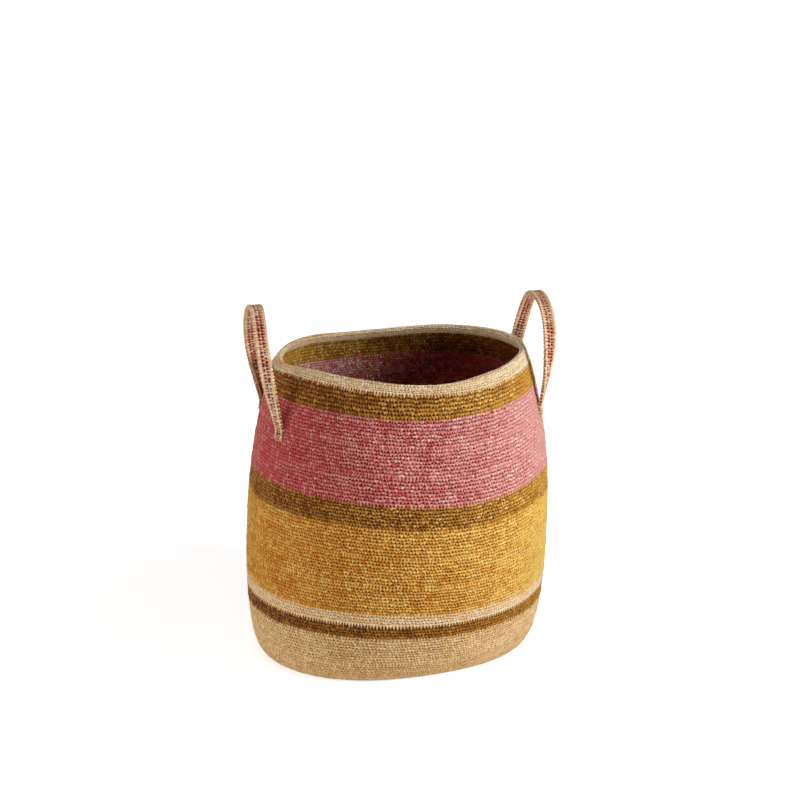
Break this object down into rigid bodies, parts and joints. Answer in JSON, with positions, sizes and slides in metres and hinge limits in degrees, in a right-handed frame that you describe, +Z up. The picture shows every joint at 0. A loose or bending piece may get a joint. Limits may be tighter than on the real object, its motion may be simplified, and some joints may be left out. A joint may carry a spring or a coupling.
{
  "type": "corn husk basket",
  "caption": "Soft round basket crocheted from dyed corn husk in wide colour bands, with an open mouth, a flat base and a strap handle sewn to each side.",
  "frame": {"origin": "on the floor under the middle of the belly, on the flat base", "axes": "+Z up out of the mouth, +X towards the right handle, -Y towards the front"},
  "size_m": [0.3573, 0.367, 0.411],
  "materials": {
    "natural_husk": "matte crocheted corn husk, undyed",
    "cream_husk": "matte crocheted corn husk, pale inner leaf",
    "brown_husk": "matte crocheted corn husk, dyed brown",
    "mustard_husk": "matte crocheted corn husk, dyed mustard",
    "olive_husk": "matte crocheted corn husk, dyed olive brown",
    "pink_husk": "matte crocheted corn husk, dyed rose pink"
  },
  "bodies": {
    "basket": {"base_disc": "natural_husk", "heel_band": "natural_husk", "brown_band": "brown_husk", "cream_band": "cream_husk", "mustard_band": "mustard_husk", "lower_olive_band": "olive_husk", "pink_band": "pink_husk", "upper_olive_band": "olive_husk", "rim_band": "natural_husk", "rim_edge": "cream_husk", "right_front_foot": "pink_husk", "right_front_foot_seam": "cream_husk", "right_back_foot": "pink_husk", "right_back_foot_seam": "cream_husk", "left_front_foot": "pink_husk", "left_front_foot_seam": "cream_husk", "left_back_foot": "pink_husk", "left_back_foot_seam": "cream_husk"},
    "right_handle": {"right_handle_inner_edge_course": "cream_husk", "right_handle_inner_pink_course": "pink_husk", "right_handle_outer_pink_course": "pink_husk", "right_handle_outer_edge_course": "cream_husk"},
    "left_handle": {"left_handle_inner_edge_course": "cream_husk", "left_handle_inner_pink_course": "pink_husk", "left_handle_outer_pink_course": "pink_husk", "left_handle_outer_edge_course": "cream_husk"}
  },
  "joints": [
    {"name": "right_handle_swing", "type": "hinge", "parent": "basket", "child": "right_handle", "pos_m": [0.159, -0.00179, 0.28833], "axis": [0.0626, 0.998, 0], "range_deg": [-10, 100], "stiffness_Nm_per_rad": 0.1},
    {"name": "left_handle_swing", "type": "hinge", "parent": "basket", "child": "left_handle", "pos_m": [-0.14968, 0.02058, 0.28092], "axis": [-0.0882, -0.9961, 0], "range_deg": [-10, 100], "stiffness_Nm_per_rad": 0.1}
  ]
}
